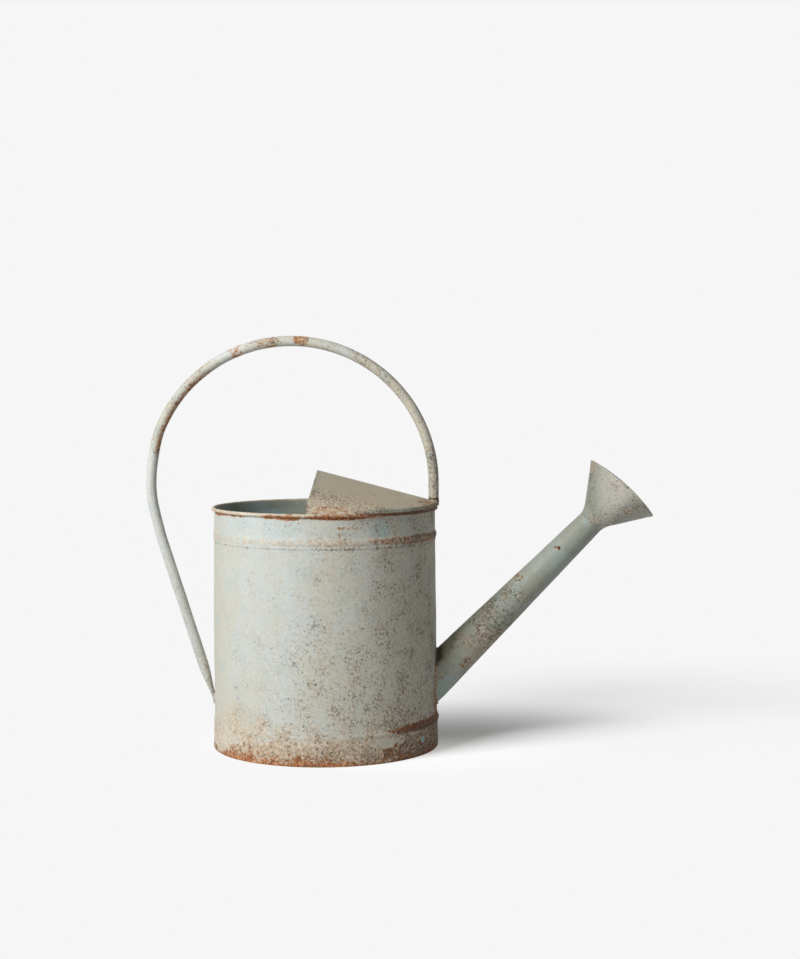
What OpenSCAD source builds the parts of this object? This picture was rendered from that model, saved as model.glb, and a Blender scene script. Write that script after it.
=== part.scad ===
// Sheet-metal watering can, painted and left to rust: a round body with a
// half hood over its mouth, a hoop handle of bent tube, and a slanting spout
// that ends in a sprinkling rose. Every joint is soldered, so nothing moves.
//
// Millimetres, +Z up. The origin is the centre of the ring that the can
// stands on. The spout points along +X, and the plane y = 0 cuts the can in
// two equal halves.

/* [Body] */
// Outer diameter of the body at its foot
base_d = 176.6; // [150:0.1:220]
// Outer diameter of the body wall just under the rolled rim
top_d = 172; // [146:0.1:216]
// Height from the foot to the top of the rolled rim
can_h = 187.5; // [150:0.5:240]
// Thickness of the steel sheet
sheet = 0.6; // [0.4:0.1:1]
// Width across the rolled rim
curl_d = 2.8; // [2.4:0.1:5]
// Width of the lapped seam at the back of the wall
seam_w = 8; // [4:0.5:14]

/* [Beads] */
// Distance of the middle of the upper bead below the rim
upper_bead_drop = 21.5; // [12:0.5:40]
// Height of the middle of the lower bead
lower_bead_z = 22.5; // [14:0.5:26]
// Height of each bead, edge to edge
bead_w = 6; // [3:0.5:8]
// How far each bead stands out of the wall
bead_proud = 1.1; // [0.6:0.1:2.5]
// How much wider the wall is below the lower bead
band_step = 0.4; // [0.2:0.1:0.6]

/* [Base plate] */
// How high the base plate sits above the floor
base_recess = 4; // [2:0.5:8]

/* [Hood] */
// Slope of the hood's ridge, in degrees
hood_slope = 14.8; // [8:0.1:22]
// Height of the hood above the rim at the handle's foot
hood_front_h = 2.8; // [1.5:0.1:6]
// Distance of the hood's mouth behind the can's centre, at the rim
mouth_x = 11.4; // [0:0.1:30]
// How far the hood's mouth leans over the opening, in degrees from upright
mouth_lean = 11; // [0:0.5:20]

/* [Handle] */
// Outer diameter of the handle's tube
tube_d = 8; // [6:0.1:12]
// Thickness of the tube's wall
tube_wall = 0.8; // [0.5:0.1:1.5]
// How far the hoop stands out behind the rim, to the middle of the tube
hoop_behind = 49.8; // [30:0.1:70]
// Height of the hoop's centre above the rim
hoop_rise = 17.5; // [8:0.5:40]
// Distance of the handle's foot inside the edge of the hood
foot_inset = 2; // [1:0.1:6]
// Radius of the bend where the hoop turns into the back leg
leg_bend_r = 90; // [60:1:100]
// Height at which the middle of the back leg meets the wall
leg_foot_z = 36; // [30:0.5:60]
// Length of the drawn-down end of the back leg
leg_taper_len = 30; // [15:1:40]
// Outer diameter that the back leg narrows to at the wall
leg_tip_d = 3; // [2:0.1:4]

/* [Spout] */
// Height at which the middle of the spout leaves the wall
spout_z = 54; // [48:0.1:75]
// Rise of the spout, in degrees from level
spout_rise = 45; // [38:0.5:55]
// Length from the wall to the tip, along the middle of the spout
spout_len = 174.4; // [120:0.1:220]
// Outer diameter where the spout leaves the wall
spout_root_d = 30.3; // [24:0.1:36]
// Outer diameter at the tip
spout_tip_d = 19.6; // [14:0.1:23]

/* [Rose] */
// Length of the rose's cone
rose_len = 31.5; // [20:0.5:45]
// Outer diameter of the cone at the sprinkling face
rose_d = 64.2; // [50:0.1:80]
// How far the rose is tipped up from the line of the spout, in degrees
rose_tip_up = 2.5; // [0:0.5:4]
// Length of the rose's neck over the tip of the spout
neck_len = 3; // [2:0.5:8]
// Rise of the domed face
dome_rise = 4; // [2:0.5:8]
// Width of the face's turned edge
edge_w = 2.5; // [1.5:0.1:5]
// Diameter of each sprinkling hole
hole_d = 1.5; // [1:0.1:2.5]
// Number of rings of holes round the middle one
hole_rings = 4; // [2:1:4]
// Distance from one ring of holes to the next
ring_step = 6.4; // [4:0.1:7]

/* [Fits] */
// Clearance between pieces that slip together before soldering
fit = 0.1; // [0.05:0.01:0.2]

/* [Hidden] */
$fn = 96;

// Extra length that takes a cut clear through the piece
through = 1;

// Outer radius of the plain wall at height z: the wall narrows upward
function wall_r(z) = base_d / 2 - band_step + (top_d - base_d + 2 * band_step) / 2 * z / can_h;

// Rolled rim: the middle of its round section
curl_x = wall_r(can_h) - sheet + curl_d / 2;
curl_z = can_h - curl_d / 2;
// Width of the slit left where the rolled edge stops short of the wall
curl_slit = 0.4;

// Height of the middle of the upper bead
upper_bead_z = can_h - upper_bead_drop;
// A bead's outline is an arc: its radius and the depth of its middle
bead_r = (pow(bead_w / 2, 2) + pow(bead_proud, 2)) / (2 * bead_proud);
bead_sink = bead_r - bead_proud;

// Share of a sheet that the seam's lap stands out of the wall
seam_lap = 0.8;

// Hood: its upright edge stands on the middle of the rolled rim
hood_r = curl_x + sheet / 2;
// Half-lengths of the oval in which the roof's slope meets the rim's top
roof_half_x = hood_r + hood_front_h / tan(hood_slope);
roof_half_y = hood_r;
// The same oval for the roof's underside
under_half_x = roof_half_x - sheet / sin(hood_slope);
under_half_y = roof_half_y - sheet;
// Height at which the slope has run back over the whole mouth
roof_h = 2 * roof_half_x * tan(hood_slope);

// Handle: a half circle from the foot, on the hood's ridge, to the back leg
foot_x = hood_r - foot_inset;
hoop_r = (foot_x + hood_r + hoop_behind) / 2;
hoop_x = foot_x - hoop_r;
hoop_z = can_h + hoop_rise;
// The bend and the leg: the leg is the straight line that leaves the bend
// smoothly and ends at the leg's foot on the wall
leg_bend_x = hoop_x - hoop_r + leg_bend_r;
leg_dx = leg_bend_x + wall_r(leg_foot_z);
leg_dz = hoop_z - leg_foot_z;
leg_span = norm([leg_dx, leg_dz]);
leg_lean = asin(leg_bend_r / leg_span) - atan2(leg_dx, leg_dz);
leg_len = sqrt(pow(leg_span, 2) - pow(leg_bend_r, 2));

// Spout: where its middle leaves the wall, and how much it narrows
spout_x = wall_r(spout_z);
spout_taper = (spout_root_d - spout_tip_d) / 2 / spout_len;
// Length of the cone inside the wall, which the body then cuts away
spout_inside = spout_root_d;

// Rose: its neck clears the spout's tip, and its cone widens at this slope
neck_r = spout_tip_d / 2 + neck_len * spout_taper + fit + sheet;
cone_slope = (rose_d / 2 - neck_r) / rose_len;
// The face's turned edge clears the cone, and its dome is the cap of a ball
face_r = rose_d / 2 + fit + sheet;
dome_r = (pow(face_r, 2) + pow(dome_rise, 2)) / (2 * dome_rise);

// ---- Sections of the body wall ----

// Upright strip of sheet from z0 to z1, set out by step from the plain wall
module wall_strip(z0, z1, step) {
    polygon([
        [wall_r(z0) + step - sheet, z0],
        [wall_r(z0) + step, z0],
        [wall_r(z1) + step, z1],
        [wall_r(z1) + step - sheet, z1]
    ]);
}

// Hollow of a bead on the inside of the wall
module bead_hollow(z) {
    translate([wall_r(z) - bead_sink, z]) circle(r = bead_r - sheet);
}

// Bead swaged outward: an arc of sheet that starts within the wall
module bead_arc(z) {
    intersection() {
        translate([wall_r(z) - bead_sink, z]) circle(r = bead_r);
        translate([wall_r(z) - sheet / 2, z - bead_w]) square([bead_r, 2 * bead_w]);
    }
}

// Wall with both beads, up to the rolled rim
module wall_section() {
    difference() {
        union() {
            wall_strip(0, lower_bead_z, band_step);
            wall_strip(lower_bead_z, curl_z, 0);
            bead_arc(upper_bead_z);
            bead_arc(lower_bead_z);
        }
        bead_hollow(upper_bead_z);
        bead_hollow(lower_bead_z);
    }
}

// Sheet edge rolled outward into a tube, with a slit beside the wall
module curl_section() {
    difference() {
        translate([curl_x, curl_z]) circle(d = curl_d);
        translate([curl_x, curl_z]) circle(d = curl_d - 2 * sheet);
        translate([curl_x - curl_d / 2 + sheet, curl_z - curl_d]) square([curl_slit, curl_d]);
    }
}

// ---- Shapes that more than one piece uses ----

// Solid of the body's outer wall without its beads, used to trim what meets it
module wall_solid() {
    cylinder(h = can_h, r1 = wall_r(0), r2 = wall_r(can_h));
}

// Everything under a roof that slopes down toward the spout, from a little
// below the rim: an upright cylinder stretched to an oval and sheared along
// the slope
module under_roof(half_x, half_y) {
    translate([0, 0, can_h])
        multmatrix([
            [half_x, 0, -1 / tan(hood_slope), 0],
            [0, half_y, 0, 0],
            [0, 0, 1, 0],
            [0, 0, 0, 1]
        ])
        translate([0, 0, -through]) cylinder(h = roof_h + through, r = 1);
}

// Frame of the spout: +Z runs along its middle from the wall to the tip
module on_spout() {
    translate([spout_x, 0, spout_z]) rotate([0, 90 - spout_rise, 0]) children();
}

// Cone of the spout's outer surface, or of its bore when inset by the sheet
module spout_cone(inset, beyond) {
    translate([0, 0, -spout_inside])
        cylinder(
            h = spout_inside + spout_len + beyond,
            r1 = spout_root_d / 2 + spout_inside * spout_taper - inset,
            r2 = spout_tip_d / 2 - beyond * spout_taper - inset
        );
}

// Frame of the rose: +Z runs along its middle from the spout's tip to its face
module on_rose() {
    on_spout() translate([0, 0, spout_len]) rotate([0, -rose_tip_up, 0]) children();
}

// ---- Pieces ----

// Wall with its rolled rim, beads and seam, and the hole for the spout
module body_wall() {
    color("#b9c0b6")
    difference() {
        union() {
            rotate_extrude() {
                wall_section();
                curl_section();
            }
            back_seam();
        }
        on_spout() spout_cone(sheet, 0);
    }
}

// Lap of the wall's two ends, at the back
module back_seam() {
    seam_angle = 2 * asin(seam_w / 2 / wall_r(0));
    rotate([0, 0, 90 - seam_angle / 2])
        rotate_extrude(angle = seam_angle)
        translate([sheet * seam_lap, 0]) wall_section();
}

// Flat disc with its edge turned down inside the foot of the wall
module base_plate() {
    plate_top = base_recess + sheet;
    plate_r = wall_r(plate_top) + band_step - sheet - fit;
    color("#8d7a68")
    rotate_extrude() {
        translate([0, base_recess]) square([plate_r, sheet]);
        translate([plate_r - sheet, 0]) square([sheet, plate_top]);
    }
}

// Sheet bent over the front half of the mouth, with an upright edge that
// stands on the rolled rim
module hood() {
    color("#a8a390")
    difference() {
        intersection() {
            under_roof(roof_half_x, roof_half_y);
            translate([0, 0, can_h]) cylinder(h = roof_h, r = hood_r);
        }
        intersection() {
            under_roof(under_half_x, under_half_y);
            cylinder(h = can_h + roof_h, r = hood_r - sheet);
        }
        mouth_cut();
    }
}

// All that lies behind the plane of the hood's mouth
module mouth_cut() {
    translate([-mouth_x, 0, can_h]) rotate([0, mouth_lean, 0])
        translate([-can_h, -can_h, -can_h]) cube([can_h, 2 * can_h, 2 * can_h]);
}

// Round bar along the handle's whole route: foot, hoop, bend, leg and tip.
// The bend runs on a little and is cut square in the leg's own frame, so that
// the two meet face to face
module handle_bar(d, tip_d) {
    straight_len = leg_len - leg_taper_len;
    translate([foot_x, 0, can_h]) cylinder(h = hoop_rise, d = d);
    translate([hoop_x, 0, hoop_z]) rotate([90, 0, 0])
        rotate_extrude(angle = 180) translate([hoop_r, 0]) circle(d = d);
    translate([leg_bend_x, 0, hoop_z]) rotate([90, 0, 0]) rotate([0, 0, 180]) {
        difference() {
            rotate_extrude(angle = 2 * leg_lean) translate([leg_bend_r, 0]) circle(d = d);
            rotate([0, 0, leg_lean]) translate([0, 0, -tube_d])
                cube([2 * leg_bend_r, 2 * leg_bend_r, 2 * tube_d]);
        }
        rotate([0, 0, leg_lean]) translate([leg_bend_r, 0, 0]) rotate([-90, 0, 0]) {
            cylinder(h = straight_len, d = d);
            translate([0, 0, straight_len]) {
                cylinder(h = leg_taper_len, d1 = d, d2 = tip_d);
                translate([0, 0, leg_taper_len]) cylinder(h = tube_d, d = tip_d);
            }
        }
    }
}

// Tube bent into a hoop with one straight leg, trimmed to the hood and wall
module handle() {
    color("#aeb5ab")
    difference() {
        handle_bar(tube_d, leg_tip_d);
        handle_bar(tube_d - 2 * tube_wall, leg_tip_d - 2 * tube_wall);
        under_ridge();
        wall_solid();
    }
}

// Block under the line of the hood's ridge, as wide as the handle's foot needs
module under_ridge() {
    block = 3 * tube_d;
    translate([hood_r, 0, can_h + hood_front_h]) rotate([0, hood_slope, 0])
        translate([-block, -block, -block]) cube([2 * block, 2 * block, block]);
}

// Long cone of sheet, trimmed to the wall
module spout() {
    color("#a3a899")
    difference() {
        on_spout() spout_cone(0, 0);
        on_spout() spout_cone(sheet, through);
        wall_solid();
    }
}

// Cone that widens from its neck, slipped over the spout's tip, to the face
module rose_cone() {
    color("#b7b4a6")
    difference() {
        on_rose() {
            cylinder(h = rose_len, r1 = neck_r, r2 = rose_d / 2);
            translate([0, 0, -neck_len]) cylinder(h = neck_len, r = neck_r);
        }
        on_rose() {
            cylinder(h = rose_len + through, r1 = neck_r - sheet,
                r2 = rose_d / 2 - sheet + through * cone_slope);
        }
        on_spout() spout_cone(-fit, fit);
    }
}

// Domed disc, drilled in rings, with its edge turned back over the cone
module rose_face() {
    color("#9c978c")
    on_rose()
    difference() {
        union() {
            translate([0, 0, rose_len - edge_w]) cylinder(h = edge_w + sheet, r = face_r);
            dome(0);
        }
        translate([0, 0, rose_len - edge_w - through])
            cylinder(h = edge_w + through, r = face_r - sheet);
        dome(sheet);
        sprinkling_holes();
    }
}

// Cap of a ball that stands on the face's edge, or the space under it when
// inset by the sheet
module dome(inset) {
    intersection() {
        translate([0, 0, rose_len + sheet + dome_rise - dome_r]) sphere(r = dome_r - inset);
        translate([0, 0, rose_len]) cylinder(h = dome_rise + sheet + through, r = face_r - inset);
    }
}

// Rings of holes round one in the middle, each ring with six more than the last
module sprinkling_holes() {
    translate([0, 0, rose_len - through]) {
        cylinder(h = dome_rise + 3 * through, d = hole_d);
        for (ring = [1 : hole_rings])
            for (i = [0 : 6 * ring - 1])
                rotate([0, 0, 60 / ring * i])
                    translate([ring * ring_step, 0, 0])
                    cylinder(h = dome_rise + 3 * through, d = hole_d);
    }
}

body_wall();
base_plate();
hood();
handle();
spout();
rose_cone();
rose_face();
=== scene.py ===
# %% [markdown]
# # A weathered watering can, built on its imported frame
#
# The can is thin galvanised sheet that was rolled, soldered and painted a chalky blue grey.
# Years outdoors let rust creep in from every edge and through every scratch. The packed
# model gives all the true sizes, so each piece below is built from the same numbers, in
# metres, and no piece has to be moved into place afterwards.

import math

import bpy
from mathutils import Matrix, Vector, noise


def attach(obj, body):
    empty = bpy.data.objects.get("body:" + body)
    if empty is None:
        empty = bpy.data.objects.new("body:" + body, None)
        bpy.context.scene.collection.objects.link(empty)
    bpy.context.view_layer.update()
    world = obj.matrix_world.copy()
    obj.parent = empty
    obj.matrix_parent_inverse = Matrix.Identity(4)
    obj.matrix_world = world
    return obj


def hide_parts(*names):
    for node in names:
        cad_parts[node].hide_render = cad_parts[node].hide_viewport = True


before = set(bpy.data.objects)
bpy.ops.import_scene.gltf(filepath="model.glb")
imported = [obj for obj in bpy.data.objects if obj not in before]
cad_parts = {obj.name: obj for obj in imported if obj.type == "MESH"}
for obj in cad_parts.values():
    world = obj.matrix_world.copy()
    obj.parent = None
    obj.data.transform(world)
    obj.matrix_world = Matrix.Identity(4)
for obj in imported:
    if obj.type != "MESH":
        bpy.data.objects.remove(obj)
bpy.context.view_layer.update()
scene = bpy.context.scene
MM = 0.001
print("nodes:", sorted(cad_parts))

# %% [markdown]
# ## Camera
#
# A long lens from almost 1.4 m away keeps the upright sides of the can nearly parallel. It
# looks down only a few degrees, so the top of the can shows as a thin ellipse.

# %% Camera
CAMERA_PLACE = Vector((58.78, -1373.34, 286.97)) * MM
LOOK_DOWN = 0.0575  # radians
ROLL = -0.0019  # radians
LENS_MM = 66.07
SENSOR_MM = 36.0
lens_data = bpy.data.cameras.new("studio_camera")
lens_data.lens = LENS_MM
lens_data.sensor_width = SENSOR_MM
lens_data.clip_start = 0.05
camera = bpy.data.objects.new("studio_camera", lens_data)
scene.collection.objects.link(camera)
camera.matrix_world = (
    Matrix.Translation(CAMERA_PLACE)
    @ Matrix.Rotation(math.pi / 2 - LOOK_DOWN, 4, "X")
    @ Matrix.Rotation(ROLL, 4, "Z")
)
scene.camera = camera
print("camera stands", round(CAMERA_PLACE.length, 2), "m from the middle of the foot")

# %% [markdown]
# ## Making a piece from a grid of points
#
# Every sheet part here is a surface that can be walked in two directions: round the can and
# up it, or round a tube and along it. So one helper joins a grid of points with four-sided
# faces, and another turns the result into a piece that rides on the can and takes its place
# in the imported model. Four-sided faces in even rows shade smoothly and are easy to edit.

# %% Helpers for grids and pieces
def grid_faces(rows, columns, loop_rows=False, loop_columns=True):
    """Four-sided faces between neighbouring points of a grid kept row by row."""
    faces = []
    for row in range(rows if loop_rows else rows - 1):
        above = (row + 1) % rows
        for column in range(columns if loop_columns else columns - 1):
            right = (column + 1) % columns
            faces.append((row * columns + column, row * columns + right,
                          above * columns + right, above * columns + column))
    return faces


def new_object(name, points, faces):
    """A bare mesh object in the scene, from points in metres."""
    mesh = bpy.data.meshes.new(name)
    mesh.from_pydata([tuple(point) for point in points], [], faces)
    made = bpy.data.objects.new(name, mesh)
    scene.collection.objects.link(made)
    return made


def bake_modifiers(piece):
    """Keep what the modifiers make as the piece's own mesh."""
    bpy.context.view_layer.update()
    evaluated = piece.evaluated_get(bpy.context.evaluated_depsgraph_get())
    made = bpy.data.meshes.new_from_object(evaluated)
    piece.modifiers.clear()
    piece.data = made


def finish_shading(piece, sharp_deg):
    """Smooth shading, with real edges kept crisp."""
    piece.data.shade_smooth()
    piece.data.set_sharp_from_angle(angle=math.radians(sharp_deg))


def claim(piece, replaces=None):
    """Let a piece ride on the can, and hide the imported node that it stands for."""
    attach(piece, "root")
    if replaces:
        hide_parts(replaces)
    print(piece.name, "has", len(piece.data.polygons), "faces")


def add_piece(name, points, faces, replaces=None, sharp_deg=40, sheet=0.0):
    """A mesh piece in metres; sheet thickens an open surface towards its inner side."""
    piece = new_object(name, points, faces)
    piece.data.validate()
    if sheet:
        thicken = piece.modifiers.new("sheet", "SOLIDIFY")
        thicken.thickness = sheet
        thicken.offset = -1.0
        thicken.use_even_offset = True
        bake_modifiers(piece)
    finish_shading(piece, sharp_deg)
    claim(piece, replaces)
    return piece


# %% Helpers for shapes
def wobble(point, size_mm, seed=0.0):
    """Smooth noise from -1 to 1 at a point in millimetres, for dents and lumps."""
    return noise.noise(Vector(point) / size_mm + Vector((seed, -seed, 2 * seed)))


def ease(value, low, high):
    """0 below low, 1 above high, and smooth between them."""
    share = min(max((value - low) / (high - low), 0.0), 1.0)
    return share * share * (3 - 2 * share)


def spin(radius, turn, height=0.0):
    """A point at a radius and a turn about the can's upright axis."""
    return Vector((radius * math.cos(turn), radius * math.sin(turn), height))


def rounded(start, corner, end, steps):
    """Points of a bend from start to end that is pulled towards a corner."""
    bend = []
    for step in range(steps + 1):
        share = step / steps
        bend.append(start * (1 - share) ** 2 + corner * 2 * share * (1 - share)
                    + end * share ** 2)
    return bend


# %% [markdown]
# ## Tubes and solder seams
#
# The handle is a bent tube, and each soldered joint is a thin lumpy bead that runs round its
# seam. Both are a circle carried along a path, so one function makes them. It turns the
# circle with the path, step by step, which keeps it from twisting.

# %% A circle carried along a path
def sweep(path, radii, sides, closed=False, lumps=0.0, lump_size=3.0, seed=1.0, widen=None):
    """Points and faces of a tube along a path in millimetres."""
    count = len(path)
    across = None
    points = []
    for index, centre in enumerate(path):
        ahead = path[(index + 1) % count] if closed or index + 1 < count else centre
        behind = path[index - 1] if closed or index > 0 else centre
        along = (ahead - behind).normalized()
        if across is None:
            across = Vector((0, 1, 0)) if abs(along.y) < 0.9 else Vector((0, 0, 1))
        across = (across - along * across.dot(along)).normalized()
        upward = along.cross(across)
        for side in range(sides):
            turn = 2 * math.pi * side / sides
            over = across * math.cos(turn)
            up = upward * math.sin(turn)
            reach = radii[index]
            if lumps:
                reach *= 1 + lumps * wobble(centre + (over + up) * reach, lump_size, seed)
            if widen:
                over *= widen[index]
            points.append((centre + (over + up) * reach) * MM)
    faces = grid_faces(count, sides, loop_rows=closed)
    if not closed:
        faces.append(tuple(range(sides)))
        faces.append(tuple((count - 1) * sides + side for side in reversed(range(sides))))
    return points, faces


# %% [markdown]
# ## The can's body
#
# The wall is one sheet rolled into a tube and lapped down the back. Its top edge is curled
# outwards, two beads are pressed into it to stiffen it, and the foot below the lower bead is
# a touch wider. A cylinder with loops cut into it could be shaped to this. Turning one
# outline about the upright axis is simpler, and keeps every size in one list. Points are
# closer together at the beads and the curl, where the outline bends, and slow noise pushes
# the sheet in and out by a few tenths of a millimetre, as on any old can.

# %% The wall's sizes
SHEET = 0.6
WALL_H = 187.5
FOOT_R = 87.9
TAPER = 1.9 / WALL_H
BAND_STEP = 0.4
BEAD_ARC = 4.64
BEAD_SINK = 3.54
BEAD_HALF = 3.0
LOWER_BEAD = 22.5
UPPER_BEAD = 166.0
CREASE_Z = 161.1
CREASE_STEP = 0.35
SWAGE_TOP = 168
CURL_R = 1.4
CURL_CENTRE = 86.8
CURL_Z = 186.1
CURL_FROM = -122  # degrees, from straight outwards
CURL_SWEEP = 302
CURL_STEPS = 14
SEAM_R = 87.0
SEAM_HALF = 4.0
SEAM_EDGE = 0.3
SEAM_PROUD = 0.48


def wall_radius(z):
    """Outer radius of the wall at a height, in millimetres, with no bead."""
    foot = BAND_STEP * (1 - ease(z, LOWER_BEAD - 0.5, LOWER_BEAD + 0.5))
    return FOOT_R - TAPER * z + foot


# Each bead: its height, its least share of the full depth, and where it fades in
BEADS = ((LOWER_BEAD, 0.15, -0.1, 0.9), (UPPER_BEAD, 0.4, -0.9, 0.5))


def bead_height(azimuth, z):
    """How far the beads stand out; the roller bit less deep on the grip's side."""
    facing = math.cos(azimuth)
    swaged = CREASE_STEP * ease(z, CREASE_Z - 0.25, CREASE_Z + 0.25)
    swaged *= 1 - ease(z, SWAGE_TOP, SWAGE_TOP + 2)
    bead = 0.0
    for middle, least, low, high in BEADS:
        rise = z - middle
        if abs(rise) < BEAD_HALF:
            share = least + (1 - least) * ease(facing, low, high)
            bead = share * (math.sqrt(BEAD_ARC ** 2 - rise ** 2) - BEAD_SINK)
    return max(bead, swaged)


def wall_heights():
    """Heights for the wall's rows: coarse on plain sheet, fine where it bends."""
    heights = {0.35, 1.0, 182.0, 183.6, 184.6}
    heights.update(range(3, 181, 3))
    for middle in (LOWER_BEAD, UPPER_BEAD):
        heights.update(middle + 0.5 * step for step in range(-7, 8))
    heights.update(CREASE_Z + 0.25 * step for step in range(-3, 4))
    return sorted(heights)


# %% The wall's outline: pairs of radius and height, up the outside and down the inside
cut_edge = wall_radius(0.4)
wall_outline = [(cut_edge - SHEET, 0.3), (cut_edge - 0.45, 0.0), (cut_edge - 0.2, 0.0)]
wall_outline += [(wall_radius(z), z) for z in wall_heights()]
curl_row = len(wall_outline)
for step in range(CURL_STEPS + 1):
    turn = math.radians(CURL_FROM + CURL_SWEEP * step / CURL_STEPS)
    wall_outline.append((CURL_CENTRE + CURL_R * math.cos(turn), CURL_Z + CURL_R * math.sin(turn)))
wall_outline += [(FOOT_R - TAPER * z - SHEET + BAND_STEP * (z < LOWER_BEAD), z)
                 for z in (183, 175, 160, 140, 120, 100, 80, 60, 40, 24, 18, 8)]
print("wall outline has", len(wall_outline), "points")

# %% [markdown]
# The sheet is not a perfect drum. It leans in a little at the foot on the side of the grip,
# and it has a few shallow dents that the eye picks up only in how the light rolls over them.

# %% The wall
DENT_R = 88
BROAD_DENT = 0.42
SMALL_DENT = 0.16
FOOT_LEAN = 0.9


def dent(azimuth, z):
    """How far the sheet is pushed out of round, in millimetres."""
    place = spin(DENT_R, azimuth, z)
    calm = ease(z, 0, 12) * (1 - ease(z, 172, 184))
    slow = BROAD_DENT * wobble(place, 62, 3.1) + SMALL_DENT * wobble(place, 21, 7.7)
    lean = ease(-math.cos(azimuth), 0.75, 1.0) * (1 - ease(z, 20, 120))
    return slow * (0.25 + 0.75 * calm) - FOOT_LEAN * lean


ROUND_STEPS = 240
azimuths = [2 * math.pi * step / ROUND_STEPS for step in range(ROUND_STEPS)]
seam_turn = SEAM_HALF / SEAM_R
azimuths += [math.pi / 2 + side * (seam_turn + gap / SEAM_R)
             for side in (-1, 1) for gap in (0.0, SEAM_EDGE)]
azimuths.sort()
wall_points = []
for row, (radius, z) in enumerate(wall_outline):
    for azimuth in azimuths:
        reach = radius + dent(azimuth, z)
        if row < curl_row:
            off_seam = abs(azimuth - math.pi / 2) * SEAM_R - SEAM_HALF
            reach += bead_height(azimuth, z)
            reach += SEAM_PROUD * (1 - ease(off_seam, 0.0, SEAM_EDGE))
        wall_points.append(spin(reach, azimuth, z) * MM)
wall_faces = grid_faces(len(wall_outline), len(azimuths), loop_rows=True)
body_wall = add_piece("body_sheet", wall_points, wall_faces, "body_wall", 50)

# %% [markdown]
# Water leaves the tank through a round hole behind the spout. A cylinder on the spout's axis
# is cut out of the wall with a boolean, the same way the real hole is punched, and the
# cylinder is then deleted.

# %% The hole behind the spout
SPOUT_FOOT = Vector((87.35, 0.0, 54.0))
SPOUT_DIR = Vector((1, 0, 1)).normalized()
SPOUT_LEN = 174.4
SPOUT_R0 = 15.15
SPOUT_R1 = 9.8
PUNCH_REACH = 26.0
LEDGE = 1.0
hole_path = [SPOUT_FOOT + SPOUT_DIR * along for along in (-PUNCH_REACH, PUNCH_REACH)]
hole_cutter = new_object("hole_cutter", *sweep(hole_path, [SPOUT_R0 - LEDGE] * 2, 48))
punch = body_wall.modifiers.new("spout_hole", "BOOLEAN")
punch.operation = "DIFFERENCE"
punch.object = hole_cutter
punch.solver = "EXACT"
bake_modifiers(body_wall)
bpy.data.objects.remove(hole_cutter)
finish_shading(body_wall, 50)
print("wall after punching:", len(body_wall.data.polygons), "faces")

# %% [markdown]
# ## The half hood
#
# A bent sheet covers the front half of the mouth so water doesn't slop out. Seen from the
# side it falls in one straight line from its mouth to the spout side; seen from the front it
# is a low arch. The sheet was bent by hand over a bar, so its open mouth is slightly hollow
# between the middle and the feet. A short upright edge follows the round rim and is soldered
# to it. The grid runs from the mouth to the rim, then rounds over and drops down the upright.

# %% The hood's sizes and shape
HOOD_SLOPE = math.tan(math.radians(14.8))
HOOD_REACH = 97.7
HOOD_R = 87.1
MOUTH_X = -11.4
MOUTH_LEAN = math.tan(math.radians(11))
MOUTH_HOLLOW = 1.15
MOUTH_FEET_X = -9.9
HOOD_FOOT = 187.3
HOOD_FILLET = 1.6
HOOD_DENT = 0.35


def arch_share(y):
    """How much of the arch's full height is left at a distance from its middle line."""
    return math.sqrt(max(1 - (y / HOOD_R) ** 2, 0.0))


def roof_height(x, y):
    """Height of the hood's roof above the rim, in millimetres."""
    return HOOD_SLOPE * (HOOD_REACH * arch_share(y) - x)


def mouth_x(y):
    """Where the roof meets the leaning plane of the hood's mouth."""
    lean = MOUTH_LEAN * HOOD_SLOPE
    out = abs(y) / HOOD_R
    hollow = MOUTH_HOLLOW * (1 - (1 - out) ** 3) * (1 - out ** 12)
    return (MOUTH_X + lean * HOOD_REACH * arch_share(y)) / (1 + lean) + hollow


# %% The hood
foot_y = math.sqrt(HOOD_R ** 2 - MOUTH_FEET_X ** 2)
edge_turn = math.pi - math.acos(-MOUTH_FEET_X / HOOD_R)
HOOD_COLUMNS = 120
ROOF_STEPS = 30
FILLET_STEPS = 5
UPRIGHT_STEPS = 3
hood_rows = []
for column in range(HOOD_COLUMNS + 1):
    share = 2 * column / HOOD_COLUMNS - 1
    mouth_y = foot_y * math.sin(share * math.pi / 2)
    mouth = Vector((mouth_x(mouth_y), mouth_y, 0))
    rim = spin(HOOD_R, share * edge_turn)
    strip = []
    for step in range(ROOF_STEPS + 1):
        spot = mouth.lerp(rim, step / ROOF_STEPS)
        strip.append(Vector((spot.x, spot.y, WALL_H + roof_height(spot.x, spot.y))))
    corner = strip.pop()
    fall = corner.z - HOOD_FOOT
    inward = strip[-1] - corner
    fillet = min(HOOD_FILLET, 0.7 * fall, 0.9 * inward.length + 0.01)
    start = corner + inward.normalized() * fillet if inward.length > 1e-6 else corner
    end = corner - Vector((0, 0, fillet))
    strip += rounded(start, corner, end, FILLET_STEPS)
    for step in range(1, UPRIGHT_STEPS + 1):
        down = (HOOD_FOOT - end.z) * step / UPRIGHT_STEPS
        strip.append(Vector((end.x, end.y, end.z + down)))
    for spot in strip:
        spot.z += HOOD_DENT * wobble(spot, 38, 5.0) * ease(spot.z, WALL_H + 2, WALL_H + 12)
    hood_rows.append(strip)
hood_points = [spot * MM for strip in hood_rows for spot in strip]
hood_faces = grid_faces(len(hood_rows), len(hood_rows[0]), loop_columns=False)
hood = add_piece("hood_sheet", hood_points, hood_faces, "hood", 45, SHEET * MM)

# %% [markdown]
# ## The handle
#
# One steel tube makes the whole grip. It stands on the hood above the spout, goes over in a
# half circle, bends inwards, and runs down to the wall, where its end is hammered to a taper
# and soldered. A curve object with a round bevel would make a plain tube, but not the
# hammered end, so the path is worked out from its arcs and a circle is swept along it.

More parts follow.
